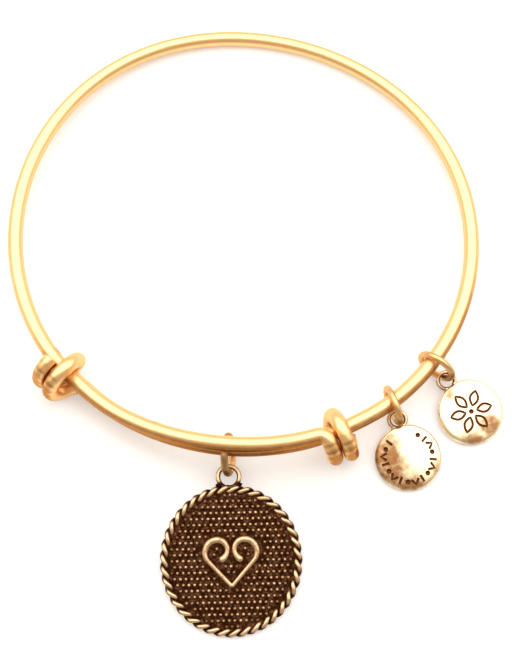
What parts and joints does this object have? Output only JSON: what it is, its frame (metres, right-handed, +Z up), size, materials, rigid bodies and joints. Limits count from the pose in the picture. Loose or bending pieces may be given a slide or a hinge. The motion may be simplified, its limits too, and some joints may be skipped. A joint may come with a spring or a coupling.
{
  "type": "expandable wire bangle with charms",
  "caption": "Springy round wire bangle whose overlapped ends wrap round each other, with a cast oval medallion and small stamped disc tags on jump rings.",
  "frame": {"origin": "centre of the loop of wire, on the table that the bangle lies on", "axes": "+Z up from the table and along the hand's way through the loop, +X to the right and -Y to the front, where the medallion lies"},
  "size_m": [0.0677, 0.0859, 0.008],
  "materials": {
    "wire": "satin pale gold plate",
    "antique_ring": "satin, darkened gold",
    "antique_casting": "antiqued, dark in the recesses and bright on the worn tips",
    "small_ring": "satin gold",
    "tag": "polished pale gold, tarnished in the stamped marks"
  },
  "bodies": {
    "root": {"bangle_wire": "wire", "medallion_ring": "antique_ring", "medallion": "antique_casting", "left_tag_ring": "small_ring", "left_tag": "tag", "right_tag_ring": "small_ring", "right_tag": "tag"}
  },
  "joints": []
}
